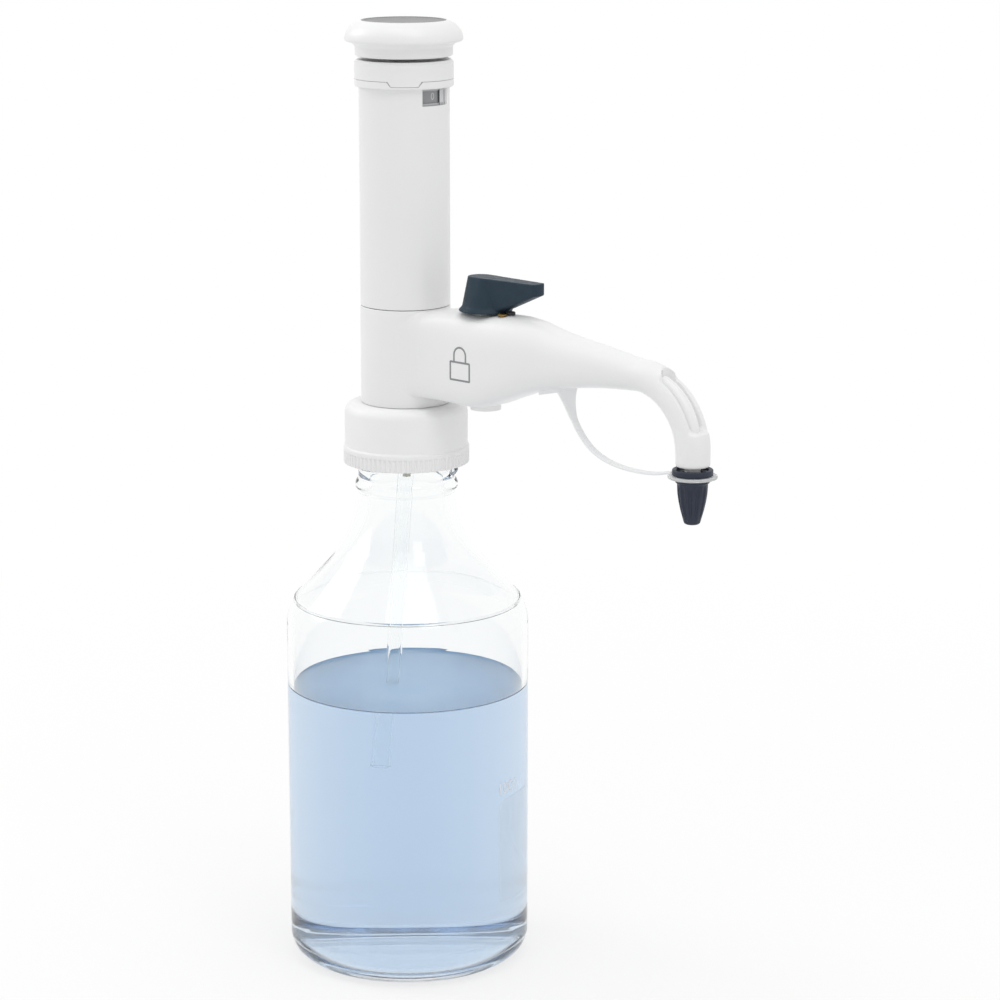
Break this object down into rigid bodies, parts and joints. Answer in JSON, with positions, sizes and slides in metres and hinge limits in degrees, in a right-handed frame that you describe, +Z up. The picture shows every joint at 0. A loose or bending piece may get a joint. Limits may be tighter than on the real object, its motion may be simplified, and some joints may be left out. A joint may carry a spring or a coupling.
{
  "type": "bottle top dispenser",
  "caption": "Hand piston dispenser screwed on a glass reagent bottle: turn the top knob to set the volume, lift and press the sleeve to dose through a capped spout with a shut-off lever.",
  "frame": {"origin": "centre of the bottle's base, on the surface that it stands on", "axes": "+Z up along the bottle's and the piston's axis, +X towards the spout"},
  "size_m": [0.2131, 0.101, 0.3943],
  "materials": {
    "bottle_glass": "clear polished",
    "cylinder_glass": "clear polished",
    "white_plastic": "fine satin",
    "grey_plastic": "satin",
    "slate_plastic": "fine satin",
    "soft_white": "soft translucent",
    "clear_tube": "translucent",
    "fluor_plastic": "machined",
    "seal": "smooth",
    "valve_ball": "polished",
    "spring_steel": "fine",
    "brass_fitting": "satin"
  },
  "bodies": {
    "bottle": {"bottle": "bottle_glass"},
    "neck_seat": {"rim_gasket": "seal", "neck_adapter": "white_plastic"},
    "collar": {"screw_collar": "white_plastic"},
    "head": {"head_housing": "white_plastic", "valve_block": "fluor_plastic", "swivel_clip": "spring_steel", "intake_valve": "fluor_plastic", "intake_ball": "valve_ball", "feed_tube": "clear_tube", "glass_cylinder": "cylinder_glass", "guard_tube": "white_plastic", "stop_ring": "grey_plastic", "stopcock_body": "fluor_plastic", "discharge_valve": "fluor_plastic", "discharge_ball": "valve_ball", "discharge_tube": "clear_tube", "valve_plug": "white_plastic", "strap_anchor": "soft_white", "catch_screw": "brass_fitting"},
    "plunger": {"piston_seal": "seal", "piston_head": "fluor_plastic", "piston_rod": "spring_steel", "sleeve": "white_plastic", "drive_plate": "grey_plastic", "clip_ring": "white_plastic", "head_ring": "white_plastic"},
    "knob": {"knob": "white_plastic", "knob_disc": "grey_plastic", "knob_hub": "grey_plastic", "digit_drum": "grey_plastic"},
    "screw": {"lead_screw": "spring_steel", "screw_pinion": "brass_fitting"},
    "nut": {"stop_nut": "brass_fitting"},
    "lever": {"lever": "slate_plastic", "stopcock_spindle": "fluor_plastic"},
    "cap": {"discharge_cap": "slate_plastic", "cap_strap": "soft_white"}
  },
  "joints": [
    {"name": "lift_off", "type": "slide", "parent": "bottle", "child": "neck_seat", "axis": [0, 0, 1], "range_m": [0, 0.17]},
    {"name": "collar_turn", "type": "hinge", "parent": "neck_seat", "child": "collar", "pos_m": [0, 0, 0.226], "axis": [0, 0, 1], "continuous": true},
    {"name": "swivel", "type": "hinge", "parent": "neck_seat", "child": "head", "pos_m": [0, 0, 0.228], "axis": [0, 0, 1], "continuous": true},
    {"name": "piston_stroke", "type": "slide", "parent": "head", "child": "plunger", "axis": [0, 0, 1], "range_m": [0, 0.05]},
    {"name": "volume_set", "type": "hinge", "parent": "plunger", "child": "knob", "pos_m": [0, 0, 0.385], "axis": [0, 0, 1], "range_deg": [-3600, 0]},
    {"name": "screw_turn", "type": "hinge", "parent": "plunger", "child": "screw", "pos_m": [-0.0126, 0, 0.35], "axis": [0, 0, 1], "range_deg": [0, 9000]},
    {"name": "nut_travel", "type": "slide", "parent": "plunger", "child": "nut", "axis": [0, 0, 1], "range_m": [0, 0.05]},
    {"name": "shut_off", "type": "hinge", "parent": "head", "child": "lever", "pos_m": [0.045, 0, 0.28], "axis": [0, 0, 1], "range_deg": [-90, 90]},
    {"name": "cap_pull", "type": "slide", "parent": "head", "child": "cap", "axis": [0, 0, -1], "range_m": [0, 0.02], "deforming": ["cap_strap"]}
  ],
  "couplings": [
    {"joint": "screw_turn", "follows": "volume_set", "ratio": -2.5},
    {"joint": "nut_travel", "follows": "volume_set", "m_per_rad": -0.00079577}
  ]
}
